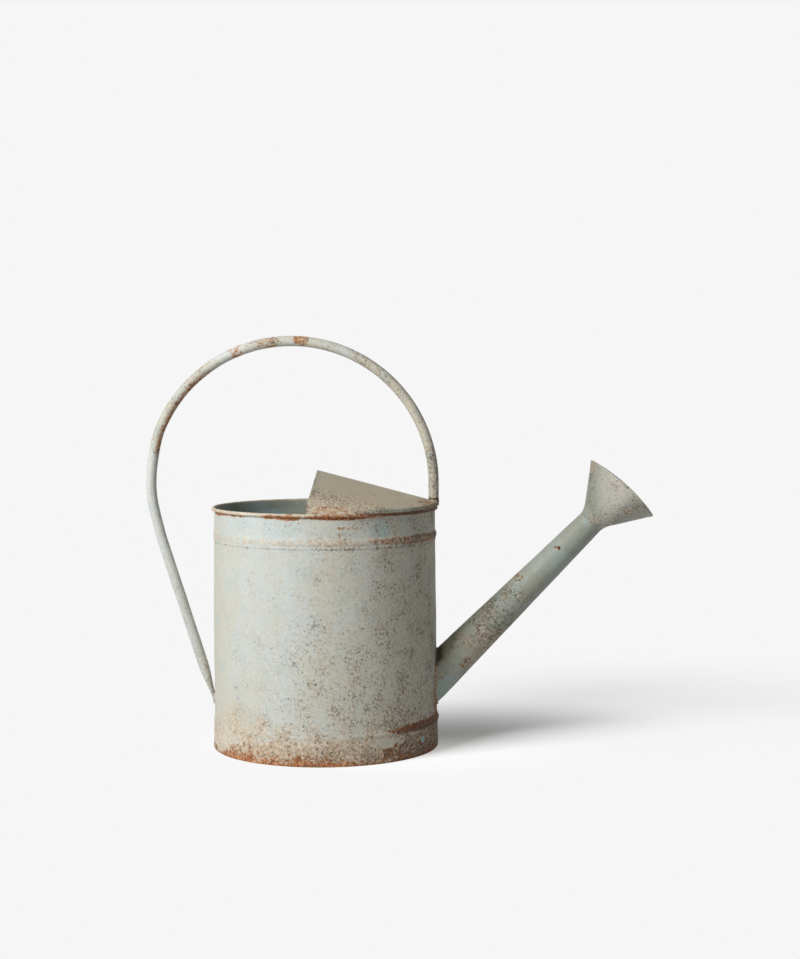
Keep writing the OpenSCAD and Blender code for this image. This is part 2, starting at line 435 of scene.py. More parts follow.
# %% The handle's sizes
TUBE_R = 4.0
HOOP_CENTRE = Vector((-25.9, 0, 205.0))
HOOP_R = 111.0
GRIP_X = 85.1
BEND_CENTRE = Vector((-46.9, 0, 205.0))
BEND_R = 90.0
LEG_LEAN = math.radians(17.7)
LEG_LEN = 148.7
LEG_BURIED = 0.6
TAPER_LEN = 30.0
TIP_R = 1.5
TIP_WIDEN = 1.1
GRIP_DENT = 1.3
HOOP_STEPS = 120
BEND_STEPS = 16
LEG_STEPS = 60

# %% The handle's path: a short upright foot, the hoop, the bend and the straight back leg
handle_path = [Vector((GRIP_X, 0, z)) for z in (189.0, 191.5, 194.0, 197.0, 201.0)]
for step in range(HOOP_STEPS + 1):
    turn = math.pi * step / HOOP_STEPS
    handle_path.append(HOOP_CENTRE + HOOP_R * Vector((math.cos(turn), 0, math.sin(turn))))
for step in range(1, BEND_STEPS + 1):
    turn = math.pi + LEG_LEAN * step / BEND_STEPS
    handle_path.append(BEND_CENTRE + BEND_R * Vector((math.cos(turn), 0, math.sin(turn))))
leg_dir = Vector((math.sin(LEG_LEAN), 0, -math.cos(LEG_LEAN)))
leg_top = handle_path[-1].copy()
for step in range(1, LEG_STEPS + 1):
    handle_path.append(leg_top + leg_dir * (LEG_LEN + LEG_BURIED) * step / LEG_STEPS)
print("handle path has", len(handle_path), "points")

# %% The handle
handle_radii = []
handle_flat = []
for centre in handle_path:
    if centre.x < -100:
        centre.x += GRIP_DENT * ease(centre.z, 160, 185) * (1 - ease(centre.z, 222, 250))
    left = (leg_top + leg_dir * LEG_LEN - centre).length
    squeezed = ease(TAPER_LEN - left, 0, TAPER_LEN) if centre.z < 90 and centre.x < 0 else 0.0
    handle_radii.append(TUBE_R + (TIP_R - TUBE_R) * squeezed)
    handle_flat.append(1 + TIP_WIDEN * squeezed)
handle_points, handle_faces = sweep(handle_path, handle_radii, 32, lumps=0.02, lump_size=14,
                                    seed=2.0, widen=handle_flat)
handle = add_piece("handle_tube", handle_points, handle_faces, "handle", 50)

# %% [markdown]
# ## The spout
#
# A flat fan of sheet was rolled into this long cone, so it is straight in every line from
# root to tip. A plain cone cut by a boolean would do, but it leaves long thin faces. Here
# each of those lines is followed back until it meets the round wall, which gives even faces
# and the curved root that a real spout is snipped to before it is soldered on.

# %% The spout's sizes and shape
SPOUT_SIDE = Vector((0, 1, 0))
SPOUT_UP = SPOUT_DIR.cross(SPOUT_SIDE)
SPOUT_SIDES = 72
SPOUT_STEPS = 60
SPOUT_DENT = 0.16
SPOUT_SEAM = 0.45


def spoke_at(turn, up):
    """The direction out from a slanting axis; turn 0 is its top line."""
    return up * math.cos(turn) + SPOUT_SIDE * math.sin(turn)


def spout_point(turn, along, radius_add=0.0):
    """A point on the spout's outer skin."""
    radius = SPOUT_R0 + (SPOUT_R1 - SPOUT_R0) * along / SPOUT_LEN + radius_add
    return SPOUT_FOOT + SPOUT_DIR * along + spoke_at(turn, SPOUT_UP) * radius


def spout_root(turn, radius_add=0.0):
    """How far along the axis the spout's skin leaves the wall, found by halving."""
    low, high = -40.0, 40.0
    for _ in range(30):
        middle = (low + high) / 2
        spot = spout_point(turn, middle, radius_add)
        if math.hypot(spot.x, spot.y) > FOOT_R - TAPER * spot.z - 0.1:
            high = middle
        else:
            low = middle
    return high


# %% The spout
spout_points = []
for step in range(SPOUT_STEPS + 1):
    for side in range(SPOUT_SIDES):
        turn = 2 * math.pi * side / SPOUT_SIDES
        root = spout_root(turn)
        along = root + (SPOUT_LEN - root) * step / SPOUT_STEPS
        spot = spout_point(turn, along)
        dented = SPOUT_DENT * wobble(spot, 26, 9.0) * ease(step, 0, 6)
        lapped = 1 - ease(abs(turn - math.pi) * 12, 2.6, 3.0)
        seam = SPOUT_SEAM * lapped * ease(step, 0, 3)
        spout_points.append((spot + spoke_at(turn, SPOUT_UP) * (dented + seam)) * MM)
spout_faces = [tuple(reversed(face)) for face in grid_faces(SPOUT_STEPS + 1, SPOUT_SIDES)]
spout = add_piece("spout_tube", spout_points, spout_faces, "spout", 45,
                  SHEET * MM)

# %% [markdown]
# ## The rose
#
# The sprinkling head is a wide cone slipped over the spout's tip. Its neck was filled with
# solder and wiped smooth, so the outline sweeps from the spout into the cone with no step.
# The outline below is a short neck, a rounded knee and a straight cone, turned about the
# rose's own axis. Crimping the face on pushed the rim slightly forward at its two sides.

# %% The rose's sizes and outline
ROSE_TILT = math.radians(47.5)
ROSE_DIR = Vector((math.cos(ROSE_TILT), 0, math.sin(ROSE_TILT)))
ROSE_UP = Vector((-math.sin(ROSE_TILT), 0, math.cos(ROSE_TILT)))
ROSE_AT = SPOUT_FOOT + SPOUT_DIR * SPOUT_LEN
ROSE_LEN = 31.5
ROSE_R = 32.1
NECK_R = 10.59
KNEE = 6.5
RIM_WAVE = 2.2
ROSE_DENT = 0.2
ROSE_SIDES = 96
KNEE_STEPS = 10
CONE_STEPS = 18
cone_slope = (ROSE_R - NECK_R) / ROSE_LEN

# Pairs of how far along the axis and the radius there: the neck's lip, the knee, the cone
rose_outline = [(-4.6, 9.9), (-4.3, 10.12), (-3.8, 10.24)]
knee_low = Vector((-3.2, 10.32))
knee_corner = Vector((1.0, NECK_R + 0.25))
knee_high = Vector((KNEE, NECK_R + cone_slope * KNEE))
rose_outline += [tuple(spot) for spot in rounded(knee_low, knee_corner, knee_high, KNEE_STEPS)]
for step in range(1, CONE_STEPS + 1):
    along = KNEE + (ROSE_LEN - KNEE) * step / CONE_STEPS
    rose_outline.append((along, NECK_R + cone_slope * along))
print("rose outline has", len(rose_outline), "points")

# %% The rose's cone
rose_points = []
for along, radius in rose_outline:
    for side in range(ROSE_SIDES):
        turn = 2 * math.pi * side / ROSE_SIDES
        spoke = spoke_at(turn, ROSE_UP)
        forward = RIM_WAVE * math.sin(turn) ** 2 * ease(along, 4, ROSE_LEN)
        spot = ROSE_AT + ROSE_DIR * (along + forward) + spoke * radius
        calm = ease(along, 2, 10) * (1 - ease(along, 24, 31))
        spot += spoke * ROSE_DENT * wobble(spot, 17, 4.0) * calm
        rose_points.append(spot * MM)
rose_faces = [tuple(reversed(face)) for face in grid_faces(len(rose_outline), ROSE_SIDES)]
rose_cone = add_piece("rose_cone_sheet", rose_points, rose_faces, "rose_cone", 45,
                      SHEET * MM)

# %% [markdown]
# The punched face has a turned-down edge that grips the cone. On the real rose it was
# crimped until it lay flush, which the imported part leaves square. So a copy of the packed
# face is taken, with its true holes, and only its edge is drawn in to follow the cone.

# %% The rose's punched face
# Radii in millimetres: inner and outer skin of the turned edge, and the most it may reach
EDGE_INNER = 31.9
EDGE_SKIN = 32.5
EDGE_LIMIT = 32.45
face_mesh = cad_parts["rose_face"].data.copy()
face_mesh.name = "rose_face_plate"
drawn_in = 0
for vertex in face_mesh.vertices:
    spot = vertex.co / MM - ROSE_AT
    along = spot.dot(ROSE_DIR)
    spoke = spot - ROSE_DIR * along
    sideways = spoke.dot(SPOUT_SIDE) / ROSE_R
    forward = ROSE_DIR * RIM_WAVE * sideways ** 2
    vertex.co += forward * MM
    if spoke.length > EDGE_INNER:
        cone_r = NECK_R + cone_slope * along
        if spoke.length > EDGE_SKIN:
            wanted = min(cone_r + 0.14, EDGE_LIMIT)
        else:
            wanted = min(cone_r - 0.3, EDGE_INNER)
        vertex.co = (ROSE_AT + ROSE_DIR * along + spoke.normalized() * wanted + forward) * MM
        drawn_in += 1
rose_face = bpy.data.objects.new("rose_face_plate", face_mesh)
scene.collection.objects.link(rose_face)
finish_shading(rose_face, 35)
claim(rose_face, "rose_face")
print("drew in", drawn_in, "points of the face's edge")

# %% [markdown]
# ## Solder
#
# Each joint is closed by a bead of soft solder that was wiped with a cloth. It could be left
# to a bump in the material, but a bead shows in the outline. It is never even, so each one is
# a thin tube swept along its joint, with noise that swells and thins it. The beads are
# pieces of their own, and each takes the paint of the part that it holds, as on the can.

# %% Solder round the spout's root
ROOT_STEPS = 96
ROOT_PROUD = 0.25
root_path = []
for step in range(ROOT_STEPS):
    turn = 2 * math.pi * step / ROOT_STEPS
    root_path.append(spout_point(turn, spout_root(turn, ROOT_PROUD) + 0.35, ROOT_PROUD))
root_radii = [1.0 + 0.35 * wobble(spot, 7, 6.0) for spot in root_path]
root_points, root_faces = sweep(root_path, root_radii, 12, closed=True, lumps=0.3, lump_size=2.6)
spout_solder = add_piece("spout_root_solder", root_points, root_faces)

# %% Solder at the front foot of the handle
LUMP_STEPS = 14
LUMP_R = 4.06
LUMP_SWELL = 1.25  # how far it bulges round the tube
LUMP_TUCK = 1.6  # how far its lowest edge is drawn in under the rim
LUMP_X = 84.1
LUMP_Z = 186.6
LUMP_RISE = 6.6
lump_path = []
lump_radii = []
lump_widen = []
for step in range(LUMP_STEPS + 1):
    share = step / LUMP_STEPS
    forward = ease(share, 0.2, 0.9)
    swell = math.sin(math.pi * min(share * 1.15, 1.0)) ** 0.8 * (1 - 0.5 * share)
    tuck = 1 - ease(share, 0.0, 0.18)
    lump_path.append(Vector((LUMP_X + forward, 0, LUMP_Z + LUMP_RISE * share)))
    lump_radii.append(LUMP_R + LUMP_SWELL * swell - LUMP_TUCK * tuck)
    lump_widen.append(1.25 - 0.25 * forward)
lump_points, lump_faces = sweep(lump_path, lump_radii, 32, lumps=0.07, lump_size=2.8, seed=4.0,
                                widen=lump_widen)
handle_solder = add_piece("handle_foot_solder", lump_points, lump_faces)

# %% Solder at the tip of the back leg
leg_end = leg_top + leg_dir * LEG_LEN
# Pairs of how far up the wall and how thick the bead is there, in millimetres
LEG_BEAD = ((-4.6, 0.3), (-4.0, 1.0), (-2.5, 1.7), (0.0, 1.9), (2.5, 1.7), (4.5, 1.1), (6.0, 0.4))
LEG_WIDEN = 1.9
leg_path = [leg_end + Vector((0.5, 0, 0)) + Vector((0.05, 0, 1)) * lift for lift, _ in LEG_BEAD]
leg_radii = [thick for _, thick in LEG_BEAD]
leg_points, leg_faces = sweep(leg_path, leg_radii, 20, lumps=0.2, lump_size=3.0, seed=8.0,
                              widen=[LEG_WIDEN] * len(LEG_BEAD))
leg_solder = add_piece("leg_foot_solder", leg_points, leg_faces)

# %% Solder along the hood
JOINT_STEPS = 180
JOINT_TURN = 0.985 * edge_turn
hood_joint = []
for step in range(JOINT_STEPS + 1):
    turn = -JOINT_TURN + 2 * JOINT_TURN * step / JOINT_STEPS
    hood_joint.append(spin(HOOD_R + 0.1, turn, WALL_H))
JOINT_R = 0.42
JOINT_LEAST_R = 0.16
joint_radii = [max(JOINT_LEAST_R, JOINT_R + 0.5 * wobble(spot, 9, 3.0)) for spot in hood_joint]
joint_points, joint_faces = sweep(hood_joint, joint_radii, 8, lumps=0.3, lump_size=2.2, seed=5.0)
hood_solder = add_piece("hood_rim_solder", joint_points, joint_faces)

# %% [markdown]
# ## Building a finish from nodes
#
# Each finish is a stack: a chalky paint at the bottom, then pale grains of lime and zinc
# salts, then small pits, then open rust. All of it is worked out from the place on the can,
# in metres, so it does not need unwrapping. One function turns a colour from its usual hex
# form to the linear numbers that Blender mixes, and one adds a node.

# %% Colours and nodes
def colour(text):
    """A hex colour as Blender's linear red, green, blue and an alpha of 1."""
    parts = [int(text[start:start + 2], 16) / 255 for start in (1, 3, 5)]
    linear = [part / 12.92 if part <= 0.04045 else ((part + 0.055) / 1.055) ** 2.4
              for part in parts]
    return (*linear, 1.0)


def per_mm(size):
    """The noise scale whose features are about this many millimetres across."""
    return 1.0 / (size * MM)


def add_node(tree, kind, settings=None, links=None):
    """Add a node; settings are its properties, links fill its sockets with values or nodes."""
    made = tree.nodes.new("ShaderNode" + kind)
    for key, value in (settings or {}).items():
        if key == "stops":
            ramp = made.color_ramp.elements
            while len(ramp) < len(value):
                ramp.new(0.5)
            for element, (place, shade) in zip(ramp, value):
                element.position = place
                element.color = shade if isinstance(shade, tuple) else (shade, shade, shade, 1)
        else:
            setattr(made, key, value)
    for key, source in (links or {}).items():
        if isinstance(key, int):
            socket = made.inputs[key]
        else:
            socket = next(item for item in made.inputs if item.enabled and item.name == key)
        if isinstance(source, bpy.types.Node):
            source = next(item for item in source.outputs if item.enabled)
        if isinstance(source, bpy.types.NodeSocket):
            tree.links.new(source, socket)
        else:
            socket.default_value = source
    return made


# %% [markdown]
# ## Three layers that every finish shares
#
# Rust, grains and pits all start as small spots and join up as they spread. A noise pattern
# with a rising threshold does just that: a low cover leaves a few islands, and a high cover
# leaves a few gaps. A patch is a place where a layer is thicker, such as a knock or a drip.

# %% Covers, patches and coats
def spread(tree, grain, cover, edge=0.03):
    """Fill a grain pattern up to a cover from 0, none, to 1, everywhere."""
    # Noise lies mostly between 0.15 and 0.85, so the threshold falls through that range
    level = add_node(tree, "Math", {"operation": "MULTIPLY_ADD"}, {0: cover, 1: -0.7, 2: 0.85})
    low = add_node(tree, "Math", {"operation": "SUBTRACT"}, {0: level, 1: edge})
    high = add_node(tree, "Math", {"operation": "ADD"}, {0: level, 1: edge})
    return add_node(tree, "MapRange", {"interpolation_type": "SMOOTHSTEP"},
                    {"Value": grain, "From Min": low, "From Max": high})


def far_from(tree, place, centre, reach):
    """Distance from a centre, counted in reaches; both are in millimetres."""
    offset = add_node(tree, "VectorMath", {"operation": "SUBTRACT"},
                      {0: place, 1: Vector(centre) * MM})
    scaled = add_node(tree, "VectorMath", {"operation": "DIVIDE"},
                      {0: offset, 1: Vector(reach) * MM})
    return add_node(tree, "VectorMath", {"operation": "LENGTH"}, {0: scaled}).outputs["Value"]


def patch(tree, place, centre, reach, ragged=0.3):
    """1 round a place and 0 beyond it, with an edge torn by noise."""
    distance = far_from(tree, place, centre, reach)
    torn = add_node(tree, "TexNoise", {}, {"Vector": place, "Scale": per_mm(0.7 * min(reach)),
                                           "Detail": 3.0})
    rough = add_node(tree, "Math", {"operation": "MULTIPLY_ADD"},
                     {0: torn, 1: 4 * ragged, 2: -2 * ragged})
    share = add_node(tree, "Math", {"operation": "ADD"}, {0: distance, 1: rough})
    return add_node(tree, "MapRange", {"interpolation_type": "SMOOTHSTEP"},
                    {"Value": share, "From Min": 1.2, "From Max": 0.7})


def total(tree, start, *terms):
    """Add to a starting cover; each term is a layer and how much of it counts."""
    running = start
    for layer, share in terms:
        running = add_node(tree, "Math", {"operation": "MULTIPLY_ADD"},
                           {0: layer, 1: share, 2: running})
    return running


def along_can(tree, part, stops):
    """A layer's cover set by height or by side: stops are (millimetres, cover) pairs."""
    # A ramp holds no negative number, so covers are halved and raised on the way in
    low = stops[0][0]
    span = stops[-1][0] - low
    share = add_node(tree, "MapRange", {}, {"Value": part, "From Min": low * MM,
                                            "From Max": (low + span) * MM})
    ramp = [((place - low) / span, 0.5 + 0.5 * cover) for place, cover in stops]
    shifted = add_node(tree, "ValToRGB", {"stops": ramp}, {"Fac": share})
    return add_node(tree, "Math", {"operation": "MULTIPLY_ADD"}, {0: shifted, 1: 2.0, 2: -1.0})


def coat(tree, under, paint, cover, share=1.0):
    """Lay a paint over what is under it, as thickly as its cover times a share."""
    thick = add_node(tree, "Math", {"operation": "MULTIPLY", "use_clamp": True},
                     {0: cover, 1: share})
    return add_node(tree, "Mix", {"data_type": "RGBA"}, {"Factor": thick, "A": under, "B": paint})


def mark(centre, reach, ragged=0.3, **layers):
    """A worn place, or a place of painted shade, in millimetres, and what it adds to the cover of
    each layer it touches.
    """
    return centre, reach, ragged, layers


# %% [markdown]
# ## The paint itself
#
# Zinc-grey oil paint that has chalked: the binder has weathered out of the top of it, so it
# is matt and pale, and it drifts between a cool blue grey and a warm cream as dust and lime
# settle in it. Typical chalked paint has a roughness of about 0.6 to 0.75 and is no metal,
# and its IOR stays at the usual 1.5 of a paint film, so it shows hardly any gloss.
# Grit of rust is about 0.3 mm across, too fine to show from here, so it is drawn at about
# 1.2 mm. The bump follows the layers: grains stand up, pits sink and open rust is scabby.

# %% The weathered paint's colours and sizes
RUST_BRIGHT = colour("#B47749")
RUST_MID = colour("#8C5733")
RUST_DARK = colour("#472C1C")
RUST_TAN = colour("#C7A582")
LIME_CREAM = colour("#D8CBB6")
LIME_TAN = colour("#BBA88E")
MOTTLE_TAN = colour("#B3A48A")
MOTTLE_BLUE = colour("#ADBAB7")
PIT_GREY = colour("#46413A")
PIT_BROWN = colour("#6D604C")
BLUE_TINT = colour("#A2BCC0")
# A darker green grey: the spout's greener tone, and painted shade at the spout's tip and under
# the rose
NECK_PAINT_AND_SHADE = colour("#8F9488")
FIRST_COAT = colour("#74B0BC")
# A dark brown used both for grime and for painted shade
GRIME_AND_SHADE = colour("#352E20")
RUST_STOPS = [(0.34, RUST_DARK), (0.45, RUST_MID), (0.55, RUST_BRIGHT), (0.66, RUST_TAN)]

# Millimetres across: slow drifts of tone, rain runs, chalk grain, blue areas and clumps
DRIFT = 42
RUN = 9
CHALK = 2.2
TINT = 15
CLUMP = 13
# How solid each coat is where it lies
TINT_SHARE = 0.34
STAIN_SHARE = 0.55
LIME_SHARE = 0.78
SMUDGE_SHARE = 0.30
PIT_SHARE = 0.8
BUMP_HEIGHT = 0.4 * MM


# %% [markdown]
# Each layer is a function of its own, so that it can be read alone: it takes the surface so
# far and how worn each layer is, and gives back the surface with one more coat on it. The
# layers share one grit size, and each shifts its noise a little so that no two line up.

# %% Chalked paint: warm and cool areas, upright rain runs and a fine chalky grain
def chalked_paint(tree, place, worn, cool, warm):
    drift = add_node(tree, "TexNoise", {}, {"Vector": place, "Scale": per_mm(DRIFT),
                                            "Detail": 3.0})
    upright = add_node(tree, "VectorMath", {"operation": "MULTIPLY"},
                       {0: place, 1: (1.0, 1.0, 0.22)})
    runs = add_node(tree, "TexNoise", {}, {"Vector": upright, "Scale": per_mm(RUN),
                                           "Detail": 3.0})
    chalk = add_node(tree, "TexNoise", {}, {"Vector": place, "Scale": per_mm(CHALK),
                                            "Detail": 5.0, "Roughness": 0.7})
    tone = total(tree, -0.35, (drift, 0.6), (runs, 0.6), (chalk, 0.5), (worn["warm"], 1.0))
    tone_share = add_node(tree, "MapRange", {"interpolation_type": "SMOOTHSTEP"},
                          {"Value": tone, "From Min": 0.2, "From Max": 0.8})
    paint = coat(tree, cool, warm, tone_share)
    paint = coat(tree, paint, NECK_PAINT_AND_SHADE, worn["neck"])
    tint_grain = add_node(tree, "TexNoise", {}, {"Vector": place, "Scale": per_mm(TINT),
                                                 "Detail": 5.0, "Roughness": 0.6})
    tint = spread(tree, tint_grain, worn["blue"], 0.12)
    paint = coat(tree, paint, BLUE_TINT, tint, TINT_SHARE)
    paint = coat(tree, paint, FIRST_COAT, worn["bare"])
    shade = add_node(tree, "MapRange", {}, {"Value": chalk, "From Min": 0.25, "From Max": 0.75,
                                            "To Min": 0.86, "To Max": 1.10})
    paint = add_node(tree, "VectorMath", {"operation": "SCALE"}, {0: paint, "Scale": shade})
    return paint, chalk


# %% Fine mottling: settled dust where the chalk is open, old blue paint where it is thin
def mottled(tree, place, worn, paint, grit_mm):
    shifted = add_node(tree, "VectorMath", {"operation": "ADD"},
                       {0: place, 1: (0.11, 0.53, 0.37)})
    mottle = add_node(tree, "TexNoise", {}, {"Vector": shifted, "Scale": per_mm(grit_mm * 2.0),
                                             "Detail": 4.0, "Roughness": 0.75})
    dusty = add_node(tree, "MapRange", {"interpolation_type": "SMOOTHSTEP"},
                     {"Value": mottle, "From Min": 0.49, "From Max": 0.63})
    paint = coat(tree, paint, MOTTLE_TAN, dusty, worn["mottle"])
    thin = add_node(tree, "MapRange", {"interpolation_type": "SMOOTHSTEP"},
                    {"Value": mottle, "From Min": 0.47, "From Max": 0.36, "To Max": 0.6})
    return coat(tree, paint, MOTTLE_BLUE, thin, worn["mottle"])


# %% Open rust, with a tan stain that runs ahead of it
def rusted(tree, place, worn, paint, grit_mm):
    shifted = add_node(tree, "VectorMath", {"operation": "ADD"}, {0: place, 1: (0.7, 0.4, 0.9)})
    grain = add_node(tree, "TexNoise", {}, {"Vector": shifted, "Scale": per_mm(grit_mm * 2.6),
                                            "Detail": 6.0, "Roughness": 0.8})
    rust = spread(tree, grain, worn["rust"], 0.03)
    stain = spread(tree, grain, total(tree, 0.05, (worn["rust"], 1.1)), 0.06)
    surface = coat(tree, paint, RUST_TAN, stain, STAIN_SHARE)
    scab = add_node(tree, "TexNoise", {}, {"Vector": shifted, "Scale": per_mm(grit_mm * 1.6),
                                           "Detail": 5.0, "Roughness": 0.75})
    scab_tone = total(tree, scab, (worn["age"], -0.30))
    rust_paint = add_node(tree, "ValToRGB", {"stops": RUST_STOPS}, {"Fac": scab_tone})
    return coat(tree, surface, rust_paint, rust), rust, scab


# %% Pale grains of lime, which sit on paint and rust alike
def limed(tree, place, worn, surface, grit_mm, clumped):
    grain = add_node(tree, "TexNoise", {}, {"Vector": place, "Scale": per_mm(grit_mm * 1.9),
                                            "Detail": 3.0, "Roughness": 0.75})
    lime = spread(tree, grain, total(tree, worn["lime"], (clumped, 0.7)), 0.05)
    tone = add_node(tree, "TexNoise", {}, {"Vector": place, "Scale": per_mm(3), "Detail": 3.0})
    tone = add_node(tree, "MapRange", {}, {"Value": tone, "From Min": 0.38, "From Max": 0.62})
    return coat(tree, surface, coat(tree, LIME_TAN, LIME_CREAM, tone), lime, LIME_SHARE), lime


# %% Pits: soft brown smudges, and small dark holes inside them
def pitted(tree, place, worn, surface, grit_mm, clumped):
    shifted = add_node(tree, "VectorMath", {"operation": "ADD"},
                       {0: place, 1: (0.31, 0.17, 0.23)})
    grain = add_node(tree, "TexNoise", {}, {"Vector": shifted, "Scale": per_mm(grit_mm * 1.5),
                                            "Detail": 4.0, "Roughness": 0.75})
    cover = total(tree, worn["pits"], (clumped, 0.5))
    smudge_cover = add_node(tree, "Math", {"operation": "ADD"}, {0: cover, 1: 0.12})
    smudge = spread(tree, grain, smudge_cover, 0.07)
    surface = coat(tree, surface, PIT_BROWN, smudge, SMUDGE_SHARE)
    pits = spread(tree, grain, cover, 0.04)
    tone = add_node(tree, "TexNoise", {}, {"Vector": shifted, "Scale": per_mm(6)})
    tone = add_node(tree, "MapRange", {}, {"Value": tone, "From Min": 0.40, "From Max": 0.60})
    return coat(tree, surface, coat(tree, PIT_GREY, PIT_BROWN, tone), pits, PIT_SHARE), pits


# %% The whole weathered paint
def weathered_paint(name, cool, warm, wear, marks=None, grit_mm=1.25, relief_share=0.7):
    """Chalked paint over rusting sheet; wear and marks say how thickly each layer lies."""
    material = bpy.data.materials.new(name)
    material.use_nodes = True
    tree = material.node_tree
    tree.nodes.clear()
    place = add_node(tree, "TexCoord").outputs["Object"]
    axes = add_node(tree, "SeparateXYZ", {}, {"Vector": place})
    worn = {"lime": 0.2, "pits": 0.2, "rust": 0.0, "warm": 0.0, "blue": 0.3, "age": 0.0,
            "mottle": 0.5, "grime": 0.0, "neck": 0.0, "bare": 0.0}
    worn.update(wear(tree, place, axes))
    for centre, reach, ragged, layers in (marks or {}).values():
        here = patch(tree, place, centre, reach, ragged)
        for layer, share in layers.items():
            worn[layer] = total(tree, worn[layer], (here, share))

    # Grains and pits both gather in clumps
    clump = add_node(tree, "TexNoise", {}, {"Vector": place, "Scale": per_mm(CLUMP),
                                            "Detail": 3.0})
    clumped = add_node(tree, "Math", {"operation": "SUBTRACT"}, {0: clump, 1: 0.5})
    surface, chalk = chalked_paint(tree, place, worn, cool, warm)
    surface = mottled(tree, place, worn, surface, grit_mm)
    surface, rust, scab = rusted(tree, place, worn, surface, grit_mm)
    surface, lime = limed(tree, place, worn, surface, grit_mm, clumped)
    surface, pits = pitted(tree, place, worn, surface, grit_mm, clumped)
    # Last, a coat of grime and painted shade
    surface = coat(tree, surface, GRIME_AND_SHADE, worn["grime"])

    rough = total(tree, 0.55, (rust, 0.22), (chalk, 0.15), (lime, 0.08))
    relief = total(tree, 0.0, (lime, 0.30), (pits, -0.45), (chalk, 0.35), (rust, 0.25),
                   (scab, 0.5))
    bump = add_node(tree, "Bump", {}, {"Height": relief, "Distance": BUMP_HEIGHT,
                                       "Strength": relief_share})
    shader = add_node(tree, "BsdfPrincipled", {}, {"Base Color": surface, "Roughness": rough,
                                                   "Normal": bump, "Metallic": 0.0})
    add_node(tree, "OutputMaterial", {}, {"Surface": shader})
    print(name, "has", len(tree.nodes), "nodes")
    return material


def dress(finish, *pieces):
    """Give one finish to each of these pieces."""
    for piece in pieces:
        piece.data.materials.clear()
        piece.data.materials.append(finish)


# %% [markdown]
# ## Where the body has worn
#
# Water stands at the foot and wets it every day, so the rust is solid along the bottom edge
# and turns to loose grit a few centimetres up. The curled rim and both beads were knocked
# and lost their paint. The spout's side is the dirtier one, and the other side is almost
# clean; the right edge, on the spout's side, is also darkened with painted shade. Broad
# changes are covers by height or by side, in a function. Single worn places, and one strip
# of painted shade under the lower bead, are marks in a table: where each one is, how far it
# reaches, how ragged its edge is, and what it adds to each layer. A table is easy to read
# and to add to.

# %% Wear on the body, by height and by side
def body_wear(tree, place, axes):
    side = axes.outputs[0]
    height = axes.outputs[2]
    lime = along_can(tree, height, [
        (0, 0.30), (2.5, 0.46), (8, 0.62), (14, 0.60), (20, 0.50), (26, 0.44), (36, 0.32),
        (60, 0.25), (150, 0.20), (163, 0.24), (165, 0.50), (168, 0.50), (170, 0.20),
        (179, 0.20), (182, 0.24), (184.6, 0.40), (185.6, 0.76), (188, 0.84)])
    # Peaks at 161.2 mm darken the crease under the upper bead: pits and rust, and painted shade
    pits = along_can(tree, height, [
        (0, 0.21), (14, 0.26), (24, 0.26), (34, 0.22), (60, 0.19), (150, 0.15), (159.8, 0.15),
        (161.2, 0.35), (162.4, 0.17), (171, 0.19), (180, 0.23), (188, 0.17)])
    rust = along_can(tree, height, [
        (0, 0.88), (1.8, 0.76), (4.5, 0.56), (12, 0.46), (19, 0.37), (28, 0.18), (45, 0.0),
        (160, 0.0), (161.2, 0.24), (162.2, 0.12), (163.6, 0.38), (165.2, 0.18), (167.6, 0.32),
        (169.4, 0.0), (181.6, 0.0), (183.2, 0.30), (184.6, 0.44), (185.6, 0.34), (186.6, 0.10),
        (188, 0.05)])
    collar = along_can(tree, height, [(0, 0.0), (160, 0.0), (169, 1.0), (188, 1.0)])
    old_foot = along_can(tree, height, [(0, 0.0), (3, 0.0), (6, 0.16), (16, 0.16), (26, 0.0),
                                        (188, 0.0)])
    spout_side = along_can(tree, side, [(-88, 0.0), (-45, 0.2), (0, 0.5), (45, 0.75),
                                        (88, 1.0)])
    grip_side = along_can(tree, side, [(-88, 0.45), (-78, 0.28), (-62, 0.06), (-50, 0.0),
                                       (88, 0.0)])
    foot_side = along_can(tree, side, [(-88, -0.34), (-74, -0.12), (-55, 0.05), (-18, 0.04),
                                       (12, -0.05), (44, -0.05), (62, 0.08), (88, 0.08)])
    low_down = along_can(tree, height, [(0, 1.0), (60, 1.0), (80, 0.0), (188, 0.0)])
    foot_side = add_node(tree, "Math", {"operation": "MULTIPLY"}, {0: foot_side, 1: low_down})
    bands = add_node(tree, "TexNoise", {}, {"Vector": place, "Scale": per_mm(30),
                                            "Detail": 2.0})
    bands = total(tree, -0.9, (bands, 1.9))
    at_edges = along_can(tree, height, [(0, 0.55), (16, 0.30), (30, 0.0), (178, 0.0),
                                        (182, 1.0), (188, 1.0)])
    bands = add_node(tree, "Math", {"operation": "MULTIPLY"}, {0: bands, 1: at_edges})
    return {
        "lime": total(tree, lime, (spout_side, 0.10)),
        "pits": total(tree, pits, (spout_side, 0.20), (collar, -0.05)),
        "rust": total(tree, rust, (foot_side, 1.0), (bands, 1.0)),
        "warm": total(tree, -0.20, (spout_side, 0.50), (grip_side, 1.0), (collar, -0.14)),
        "blue": total(tree, 0.36, (collar, 0.05), (spout_side, -0.06)),
        "age": total(tree, old_foot, (spout_side, 0.06)),
        "mottle": total(tree, 0.08, (spout_side, 0.75)),
        # Painted shade: darker towards the right edge, the side turned away from the key lamp
        "grime": along_can(tree, side, [(-88, 0.0), (60, 0.0), (78, 0.08), (88, 0.18)]),
    }
